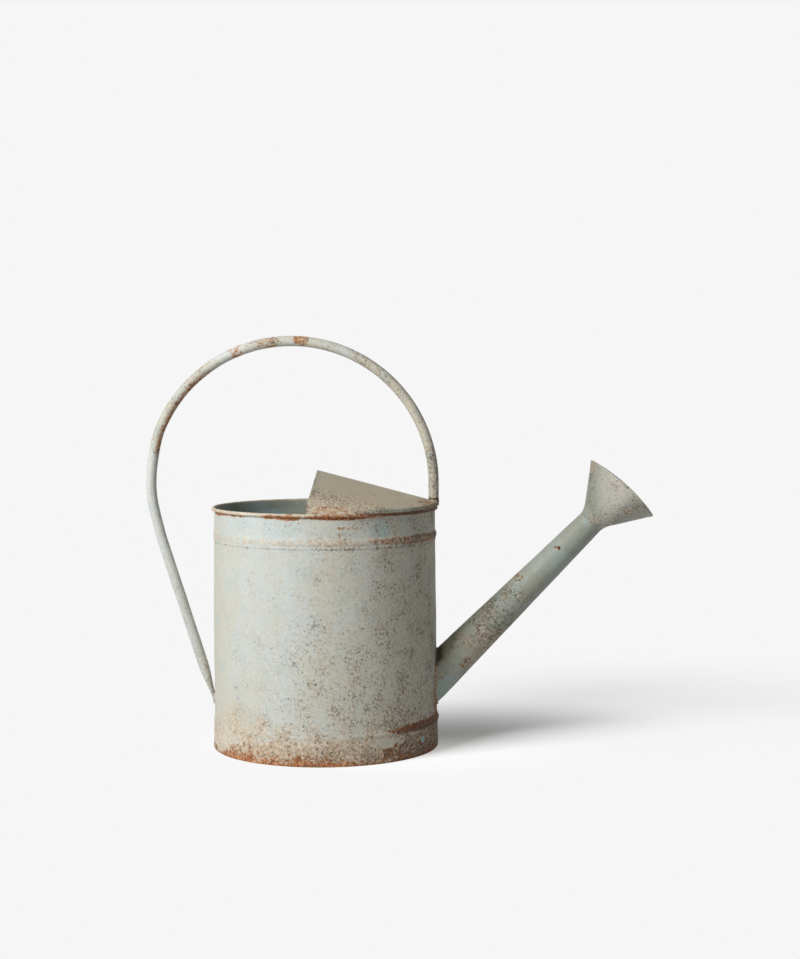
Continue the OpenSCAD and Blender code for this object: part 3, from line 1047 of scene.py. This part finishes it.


# %% Worn places on the body, and painted shade under the lower bead
BODY_MARKS = {
    "lower bead": mark((82, -34, 23.2), (42, 58, 3.6), 0.22,
                       lime=-0.36, pits=-0.1, rust=0.72, age=0.30),
    # Painted shade along the lower face of the lower bead
    "painted shade under the lower bead": mark((86, -24, 21.7), (30, 46, 1.3), 0.15, grime=0.55),
    "cream line under it": mark((78, -40, 18.8), (40, 50, 1.1), 0.15, lime=0.30, rust=-0.25),
    "below the bead": mark((86, -22, 13), (22, 38, 10), rust=0.24),
    "end of the bead": mark((88, -16, 25), (9, 26, 5), rust=0.4),
    "drip from the spout": mark((88, -12, 40), (5, 24, 14), lime=-0.1, rust=0.44),
    "upper bead": mark((74, -48, 166), (44, 60, 3.4), lime=0.04, pits=0.13, rust=0.42),
    "foot, grip side": mark((-56, -66, 5), (26, 26, 8), 0.4, lime=-0.06, rust=0.12),
    "foot, middle": mark((-12, -86, 3), (34, 14, 6), 0.4, lime=-0.14, rust=0.21),
    "foot, spout side": mark((66, -54, 6), (30, 36, 8), 0.4, lime=-0.20, rust=0.26, age=0.10),
    "cleaner foot": mark((50, -72, 15), (16, 20, 4), 0.25, lime=-0.16, pits=-0.1, rust=-0.22),
    "warm foot": mark((-62, -60, 30), (26, 30, 14), lime=0.10, warm=0.5),
    "rim, spout side": mark((66, -56, 187), (42, 52, 2.4), 0.2,
                            lime=-0.8, rust=0.62, age=0.3, grime=0.42),
    "under that rim": mark((66, -56, 183), (42, 52, 1.9), 0.1, rust=-0.4),
    "rim, middle": mark((14, -86, 185.5), (30, 12, 2.6), 0.2, lime=-0.4, rust=0.34, age=0.06),
    "rim, orange": mark((-30, -83, 184.6), (17, 14, 3.4), 0.2, lime=-0.3, rust=0.30),
    "rim, grip side": mark((-70, -52, 185), (16, 20, 2.6), 0.2, rust=0.24),
    "scratch": mark((21, -86, 177), (9, 8, 1.3), 0.5, rust=0.52),
    "scratch running down": mark((14, -86, 172), (1.5, 8, 6), 0.5, rust=0.44),
    "blue wear": mark((46, -75, 175), (8, 9, 7), blue=0.7, bare=0.22),
    "blue chip": mark((76, -45, 12), (3.0, 6, 3.2), 0.5,
                      lime=-0.6, pits=-0.5, rust=-0.8, bare=0.8),
    "rust round the chip": mark((77, -45, 12), (8, 9, 7), rust=0.14),
}
body_paint = weathered_paint("chalked_blue_grey_paint", colour("#C4CAC7"), colour("#C5C2B3"),
                             body_wear, BODY_MARKS)

# %% [markdown]
# Inside, the zinc was never painted. It has gone a dull grey green, dustier at the sides,
# with a small warm bloom on the far wall where water dried. The same stack is used, with
# paler colours under a wash of grime, which keeps the two skins related.

# %% The zinc inside
INSIDE_TOP = 184.8
INWARD = -0.3


def inside_wear(tree, place, axes):
    side = axes.outputs[0]
    height = axes.outputs[2]
    return {
        "lime": 0.22, "pits": 0.14, "blue": 0.60, "age": 0.4, "bare": 0.18,
        "rust": along_can(tree, height, [(0, 0.62), (10, 0.40), (30, 0.20), (170, 0.0),
                                         (182, 0.10), (188, 0.30)]),
        "warm": along_can(tree, side, [(-88, 0.40), (-74, 0.15), (-58, -0.50), (-40, -0.30),
                                       (-22, 0.30), (88, 0.35)]),
        "grime": along_can(tree, side, [(-88, 0.0), (-60, 0.0), (-38, 0.10), (-14, 0.34),
                                        (88, 0.40)]),
    }


INSIDE_MARKS = {"bloom": mark((-40, 78, 184), (15, 20, 5), 0.4, warm=0.8, grime=0.12)}
inside_zinc = weathered_paint("dull_zinc_inside", colour("#E2F0F0"), colour("#DCDAC4"),
                              inside_wear, INSIDE_MARKS)
dress(body_paint, body_wall)
body_wall.data.materials.append(inside_zinc)
inner_faces = 0
for face in body_wall.data.polygons:
    outward = Vector((face.center.x, face.center.y, 0)).normalized()
    if face.center.z < INSIDE_TOP * MM and face.normal.dot(outward) < INWARD:
        face.material_index = 1
        inner_faces += 1
print(inner_faces, "faces are inside")

# %% [markdown]
# ## Wear on the smaller parts
#
# Every part was painted from the same tin, but each has aged in its own way. Each could have
# its own stack of nodes. It is simpler, and keeps them a family, to use the same stack with
# other paint colours, covers and marks.
#
# The hood is the top surface that catches dust, so its paint is a warmer olive cream, and it
# gets warmer towards the grip. Water sits at its foot, so that is where it rusts.

# %% Wear on the hood
def hood_wear(tree, place, axes):
    foot = along_can(tree, axes.outputs[2], [(187, 0.34), (189, 0.26), (193, 0.10),
                                             (200, 0.0), (216, 0.0)])
    return {"lime": total(tree, 0.26, (foot, 0.3)), "pits": 0.24, "blue": 0.1, "age": 0.1,
            "rust": total(tree, 0.0, (foot, 0.5)),
            "warm": total(tree, 0.10, (axes.outputs[0], 5.0))}


HOOD_MARKS = {
    "beside the mouth": mark((10, -80, 192), (40, 26, 13), lime=0.32, pits=0.12, rust=0.08),
    "rust at the foot": mark((9, -85, 189.5), (15, 12, 4.0), 0.2, pits=-0.2, rust=0.58,
                             age=-0.1),
    "corner by the grip": mark((78, -16, 190), (20, 26, 4.5), lime=0.24, pits=0.14, rust=0.46,
                               age=0.1),
    "edge of the mouth": mark((-8, -40, 208), (7, 60, 16), pits=0.14),
    "cool foot": mark((56, -66, 188), (30, 36, 2.8), 0.15, pits=0.2, warm=-0.6, blue=0.5),
    "far foot": mark((34, 80, 189), (30, 16, 5), rust=0.4),
}
hood_paint = weathered_paint("dusty_olive_paint", colour("#B9B9A9"), colour("#BBAE92"),
                             hood_wear, HOOD_MARKS)
dress(hood_paint, hood, hood_solder)

# %% [markdown]
# The grip is rubbed along the inner side of its curve, where fingers go, and rust has
# started there. That side is found by its distance from the middle of the hoop, which
# follows the curve, where a box or a ball of cover would cut across it.

# %% Wear on the handle
# How far outside and inside the tube's middle line the rubbing fades, in millimetres
RUBBED_OUT = 5.0
RUBBED_IN = -3.5
LEFT_ARC = ((-112, 0, 266), (34, 30, 52), 0.15)


def handle_wear(tree, place, axes):
    offset = add_node(tree, "VectorMath", {"operation": "SUBTRACT"},
                      {0: place, 1: HOOP_CENTRE * MM})
    flat = add_node(tree, "VectorMath", {"operation": "MULTIPLY"},
                    {0: offset, 1: (1.0, 0.0, 1.0)})
    away = add_node(tree, "VectorMath", {"operation": "LENGTH"}, {0: flat}).outputs["Value"]
    inner = add_node(tree, "MapRange", {"interpolation_type": "SMOOTHSTEP"},
                     {"Value": away, "From Min": (HOOP_R + RUBBED_OUT) * MM,
                      "From Max": (HOOP_R + RUBBED_IN) * MM})
    rubbed = add_node(tree, "Math", {"operation": "MULTIPLY"},
                      {0: inner, 1: patch(tree, place, *LEFT_ARC)})
    return {"lime": total(tree, 0.26, (rubbed, -0.25)), "pits": 0.24, "mottle": 0.25,
            "rust": total(tree, 0.0, (rubbed, 0.66)),
            "warm": total(tree, 0.0, (axes.outputs[0], 2.8)), "blue": 0.34,
            # Darker towards the bottom of the handle
            "grime": along_can(tree, axes.outputs[2], [(0, 0.24), (120, 0.16), (230, 0.02),
                                                       (330, 0.0)])}


HANDLE_MARKS = {
    "left arc": mark(*LEFT_ARC, lime=0.03, pits=0.05, mottle=0.2, rust=-0.12, warm=0.35,
                     grime=0.11, age=-0.2),
    "crown": mark((-18, -2, 318), (8, 8, 6), pits=0.12, rust=0.56, age=-0.25),
    "left of the crown": mark((-46, -2, 316), (13, 8, 7), lime=0.1, pits=0.12, rust=0.46,
                              age=-0.3),
    "shoulder": mark((-69, -2, 309), (6, 8, 7), rust=0.46, age=-0.15),
    "right arc": mark((50, 0, 292), (40, 12, 30), 0.35, lime=-0.06, pits=0.08, mottle=0.35,
                      rust=0.28, age=0.12),
    "right foot": mark((85, 0, 212), (12, 12, 26), 0.2, lime=0.02, pits=0.16, mottle=0.25,
                       rust=0.20, grime=0.08),
    "seat": mark((85, 0, 189), (10, 10, 5), lime=0.40, pits=0.14, rust=0.42, age=0.1),
    "back leg": mark((-92, 0, 52), (14, 12, 24), lime=0.1, rust=0.30, age=0.3),
    # A thin dark line where the tube meets its solder
    "dark line at the foot": mark((85, 0, 193), (9, 12, 0.8), 0.15, grime=0.75),
}
handle_paint = weathered_paint("rubbed_handle_paint", colour("#D2D6D0"), colour("#CDC6B3"),
                               handle_wear, HANDLE_MARKS, 1.3, 0.22)
dress(handle_paint, handle, handle_solder, leg_solder)

# %% [markdown]
# The top of the spout's root is darkened with painted shade where it meets the wall, and the
# spout is brown and gritty along its middle. Its upper stretch is smoother and greener, and
# darker towards the tip, partly as painted shade, so the covers change along its length.

# %% Wear on the spout
def spout_wear(tree, place, axes):
    side = axes.outputs[0]
    high = along_can(tree, axes.outputs[2], [(30, 0.0), (62, 0.0), (74, 1.0), (90, 1.0)])
    return {
        "lime": along_can(tree, side, [(86, 0.28), (140, 0.26), (162, 0.12), (230, 0.12)]),
        "pits": along_can(tree, side, [(86, 0.30), (140, 0.30), (160, 0.20), (230, 0.20)]),
        "rust": along_can(tree, side, [(86, 0.50), (88.5, 0.30), (91, 0.05), (99, 0.0)]),
        # Darker paint towards the tip: partly the greener tone, partly painted shade
        "neck": along_can(tree, side, [(86, 0.0), (112, 0.0), (130, 0.55), (170, 0.9),
                                       (230, 1.0)]),
        "blue": 0.46, "mottle": 0.35, "age": total(tree, 0.1, (high, 0.4)),
    }


SPOUT_MARKS = {
    "crust": mark((122, -10, 82), (17, 14, 15), lime=0.16, pits=0.02, rust=0.24, warm=0.2),
    "orange spot": mark((111, -11, 65), (6, 9, 7), rust=0.44),
    "brown middle": mark((142, -8, 104), (30, 14, 26), lime=0.10, pits=0.12, rust=0.10,
                         warm=0.45),
    "upper edge": mark((150, -5, 132), (7, 9, 4), rust=0.44),
    "fleck": mark((181, -9, 155), (3.5, 7, 2.4), rust=0.48),
    # Painted shade on the top of the root, where it meets the wall, with a few pits
    "painted shade at the root": mark((85, -10, 73), (8, 24, 11), 0.22, pits=0.1, warm=0.4, grime=0.92),
    "blue root": mark((94, -8, 44), (9, 16, 12), pits=-0.1, blue=0.5, bare=0.14),
}
spout_paint = weathered_paint("mottled_spout_paint", colour("#A7AFA3"), colour("#A9A089"),
                              spout_wear, SPOUT_MARKS)
dress(spout_paint, spout, spout_solder)

# %% [markdown]
# The rose is a shade paler than the spout, since it dries first. Its solder-filled neck keeps
# the spout's greener tone, which makes the two parts flow together, and its underside takes
# the same darker paint as painted shade.

# %% Wear on the rose
def rose_wear(tree, place, axes):
    return {"lime": 0.20, "pits": 0.35, "blue": 0.22, "mottle": 0.4, "age": -0.15,
            # The darker neck paint here continues the spout's tip: greener tone and painted shade
            "neck": along_can(tree, axes.outputs[0], [(200, 1.0), (209, 0.95), (218, 0.3),
                                                      (228, 0.0), (260, 0.0)])}


ROSE_MARKS = {
    "upper tip": mark((210, -4, 218), (7, 12, 7), lime=0.12, rust=0.40),
    "pink patch": mark((236, -14, 184), (7, 16, 6), lime=0.12, rust=0.40),
    "olive tip": mark((247, -8, 183), (4, 12, 4), warm=0.5),
    "neck": mark((216, -10, 180), (12, 12, 8), lime=0.16, rust=0.14, warm=0.2),
    # Painted shade under the rose, in the darker neck paint
    "underside": mark((246, -8, 180), (26, 40, 18), 0.15, neck=0.6),
}
rose_paint = weathered_paint("mottled_rose_paint", colour("#CFD1CC"), colour("#CDC6BB"),
                             rose_wear, ROSE_MARKS)
dress(rose_paint, rose_cone, rose_face)

# %% [markdown]
# The bottom plate sits up inside the foot. It is bare steel that has rusted all over, with
# a little zinc left, so it takes the same stack with a high rust cover.

# %% The bottom plate
def base_wear(tree, place, axes):
    return {"lime": 0.42, "pits": 0.40, "rust": 0.55, "warm": 0.1, "blue": 0.2, "age": 0.2}


base_metal = weathered_paint("rusted_bottom_plate", colour("#9EA39C"), colour("#9A907E"),
                             base_wear)
dress(base_metal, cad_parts["base_plate"])

# %% [markdown]
# ## Floor and background
#
# The can stands on a pale sweep. Seen straight, the sweep and the world are one even pale
# grey, and only the stretch beside the can takes real shade, so the shadow fades into an
# even ground. The world itself lights the can softly.

# %% What shows straight, in gloss or through glass
def seen_directly(tree):
    """1 for rays that come from the camera or by way of gloss or glass, else 0."""
    rays = add_node(tree, "LightPath")
    seen = add_node(tree, "Math", {"operation": "MAXIMUM"},
                    {0: rays.outputs["Is Camera Ray"], 1: rays.outputs["Is Glossy Ray"]})
    return add_node(tree, "Math", {"operation": "MAXIMUM"},
                    {0: seen, 1: rays.outputs["Is Transmission Ray"]})


# %% Floor
STUDIO_GREY = colour("#F6F6F6")
FLOOR_WHITE = colour("#F2F2F2")
FLOOR_GLOW = 0.08
FLOOR_GAIN = 1.48
FLOOR_HALF = 4.0
# Soft ovals on the floor where real shade is let through: centre, reach and strength
SHADED_OVALS = (((102, 34, 0), (240, 176, 100), 0.9), ((270, 215, 0), (330, 260, 100), 0.3))
MOST_SHADE = 0.95

corners = [(-FLOOR_HALF, -FLOOR_HALF, 0), (FLOOR_HALF, -FLOOR_HALF, 0),
           (FLOOR_HALF, FLOOR_HALF, 0), (-FLOOR_HALF, FLOOR_HALF, 0)]
floor = new_object("floor", corners, [(0, 1, 2, 3)])

floor_paint = bpy.data.materials.new("studio_floor")
floor_paint.use_nodes = True
tree = floor_paint.node_tree
tree.nodes.clear()
place = add_node(tree, "TexCoord").outputs["Object"]
shaded = 0.0
for centre, reach, strength in SHADED_OVALS:
    oval = add_node(tree, "MapRange", {"interpolation_type": "SMOOTHSTEP"},
                    {"Value": far_from(tree, place, centre, reach),
                     "From Min": 1.0, "From Max": 0.0, "To Max": strength})
    shaded = total(tree, shaded, (oval, 1.0))
shaded = add_node(tree, "Math", {"operation": "MINIMUM"}, {0: shaded, 1: MOST_SHADE})
matt = add_node(tree, "BsdfDiffuse", {}, {"Color": FLOOR_WHITE})
bright_matt = add_node(tree, "BsdfDiffuse", {},
                       {"Color": (FLOOR_GAIN, FLOOR_GAIN, FLOOR_GAIN, 1.0)})
lift = add_node(tree, "Emission", {}, {"Color": STUDIO_GREY, "Strength": FLOOR_GLOW})
lit_floor = add_node(tree, "AddShader", {}, {0: bright_matt, 1: lift})
even_floor = add_node(tree, "Emission", {}, {"Color": STUDIO_GREY, "Strength": 1.0})
seen_floor = add_node(tree, "MixShader", {}, {"Fac": shaded, 1: even_floor, 2: lit_floor})
floor_mix = add_node(tree, "MixShader", {}, {"Fac": seen_directly(tree), 1: matt,
                                             2: seen_floor})
add_node(tree, "OutputMaterial", {}, {"Surface": floor_mix})
floor.data.materials.append(floor_paint)
print("floor finish has", len(tree.nodes), "nodes")

# %% World
WORLD_LIGHT = 0.062
world = bpy.data.worlds.new("studio")
world.use_nodes = True
scene.world = world
tree = world.node_tree
tree.nodes.clear()
soft = add_node(tree, "Background", {}, {"Color": colour("#FFFFFF"), "Strength": WORLD_LIGHT})
ground = add_node(tree, "Background", {}, {"Color": STUDIO_GREY, "Strength": 1.0})
world_mix = add_node(tree, "MixShader", {}, {"Fac": seen_directly(tree), 1: soft, 2: ground})
add_node(tree, "OutputWorld", {}, {"Surface": world_mix})
print("world finish has", len(tree.nodes), "nodes")

# %% [markdown]
# ## Lamps
#
# One large soft box stands to the left and in front, 34 degrees up. It models the round body
# from light to dark and throws one soft shadow to the right. A weak second panel in front
# keeps the dark side readable.

# %% Lamps
LAMP_AIM = Vector((0.03, 0.0, 0.12))


def soft_box(name, direction_deg, height_deg, distance, size, watts):
    """A square lamp that faces the middle of the can; the direction is measured from +X."""
    turn = math.radians(direction_deg)
    lift_angle = math.radians(height_deg)
    away = spin(math.cos(lift_angle), turn, math.sin(lift_angle))
    lamp_data = bpy.data.lights.new(name, "AREA")
    lamp_data.shape = "SQUARE"
    lamp_data.size = size
    lamp_data.energy = watts
    lamp = bpy.data.objects.new(name, lamp_data)
    scene.collection.objects.link(lamp)
    lamp.location = LAMP_AIM + away * distance
    lamp.rotation_euler = away.to_track_quat("Z", "Y").to_euler()
    print(name, "stands at", [round(value, 2) for value in lamp.location])


soft_box("key_soft_box", direction_deg=222.5, height_deg=34, distance=2.2, size=1.0, watts=48)
soft_box("front_fill", direction_deg=285, height_deg=58, distance=2.6, size=1.6, watts=3.5)
scene.view_settings.view_transform = "Standard"
